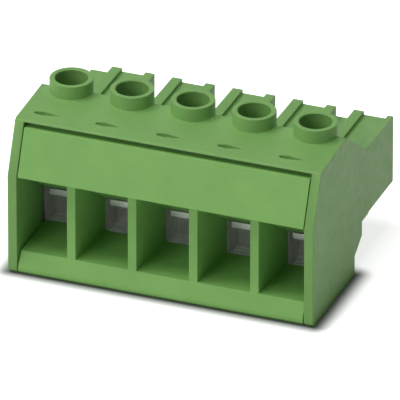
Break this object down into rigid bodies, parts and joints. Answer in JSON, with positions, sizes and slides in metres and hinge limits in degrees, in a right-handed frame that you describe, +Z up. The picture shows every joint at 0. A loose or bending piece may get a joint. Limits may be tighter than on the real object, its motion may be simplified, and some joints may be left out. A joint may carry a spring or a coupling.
{
  "type": "pluggable terminal block",
  "caption": "Pluggable screw terminal block: green housing with a leaning front, wire entries below, screwdriver collars on top and a slotted plug nose behind.",
  "frame": {"origin": "centre of the overall depth and width, on the surface the plug stands on", "axes": "+X along the row of poles, +Y from the wire entries towards the plug nose, +Z up towards the screwdriver collars"},
  "size_m": [0.0382, 0.0268, 0.0212],
  "materials": {
    "green_polyamide": "moulded glass-filled polyamide, satin",
    "plated_sleeve": "nickel plated, satin",
    "zinc_plated_screw": "zinc plated, satin",
    "tinned_contact": "copper alloy with a bright tin plating",
    "spring_steel": "stainless spring strip"
  },
  "bodies": {
    "root": {"housing": "green_polyamide", "entry_frame": "green_polyamide", "contact_1": "tinned_contact", "contact_2": "tinned_contact", "contact_3": "tinned_contact", "contact_4": "tinned_contact", "contact_5": "tinned_contact", "contact_spring_1": "spring_steel", "contact_spring_2": "spring_steel", "contact_spring_3": "spring_steel", "contact_spring_4": "spring_steel", "contact_spring_5": "spring_steel"},
    "screw_1": {"clamp_screw_1": "zinc_plated_screw"},
    "clamp_1": {"tension_sleeve_1": "plated_sleeve"},
    "screw_2": {"clamp_screw_2": "zinc_plated_screw"},
    "clamp_2": {"tension_sleeve_2": "plated_sleeve"},
    "screw_3": {"clamp_screw_3": "zinc_plated_screw"},
    "clamp_3": {"tension_sleeve_3": "plated_sleeve"},
    "screw_4": {"clamp_screw_4": "zinc_plated_screw"},
    "clamp_4": {"tension_sleeve_4": "plated_sleeve"},
    "screw_5": {"clamp_screw_5": "zinc_plated_screw"},
    "clamp_5": {"tension_sleeve_5": "plated_sleeve"}
  },
  "joints": [
    {"name": "screw_1_turn", "type": "hinge", "parent": "root", "child": "screw_1", "pos_m": [-0.01524, -0.0025, 0.0118], "axis": [0, 0, -1], "range_deg": [0, 2736]},
    {"name": "screw_2_turn", "type": "hinge", "parent": "root", "child": "screw_2", "pos_m": [-0.00762, -0.0025, 0.0118], "axis": [0, 0, -1], "range_deg": [0, 2736]},
    {"name": "screw_3_turn", "type": "hinge", "parent": "root", "child": "screw_3", "pos_m": [0, -0.0025, 0.0118], "axis": [0, 0, -1], "range_deg": [0, 2736]},
    {"name": "screw_4_turn", "type": "hinge", "parent": "root", "child": "screw_4", "pos_m": [0.00762, -0.0025, 0.0118], "axis": [0, 0, -1], "range_deg": [0, 2736]},
    {"name": "screw_5_turn", "type": "hinge", "parent": "root", "child": "screw_5", "pos_m": [0.01524, -0.0025, 0.0118], "axis": [0, 0, -1], "range_deg": [0, 2736]},
    {"name": "clamp_1_lift", "type": "slide", "parent": "root", "child": "clamp_1", "axis": [0, 0, 1], "range_m": [0, 0.0038]},
    {"name": "clamp_2_lift", "type": "slide", "parent": "root", "child": "clamp_2", "axis": [0, 0, 1], "range_m": [0, 0.0038]},
    {"name": "clamp_3_lift", "type": "slide", "parent": "root", "child": "clamp_3", "axis": [0, 0, 1], "range_m": [0, 0.0038]},
    {"name": "clamp_4_lift", "type": "slide", "parent": "root", "child": "clamp_4", "axis": [0, 0, 1], "range_m": [0, 0.0038]},
    {"name": "clamp_5_lift", "type": "slide", "parent": "root", "child": "clamp_5", "axis": [0, 0, 1], "range_m": [0, 0.0038]}
  ],
  "couplings": [
    {"joint": "screw_1_turn", "follows": "clamp_1_lift", "rad_per_m": 12566},
    {"joint": "screw_2_turn", "follows": "clamp_2_lift", "rad_per_m": 12566},
    {"joint": "screw_3_turn", "follows": "clamp_3_lift", "rad_per_m": 12566},
    {"joint": "screw_4_turn", "follows": "clamp_4_lift", "rad_per_m": 12566},
    {"joint": "screw_5_turn", "follows": "clamp_5_lift", "rad_per_m": 12566}
  ]
}
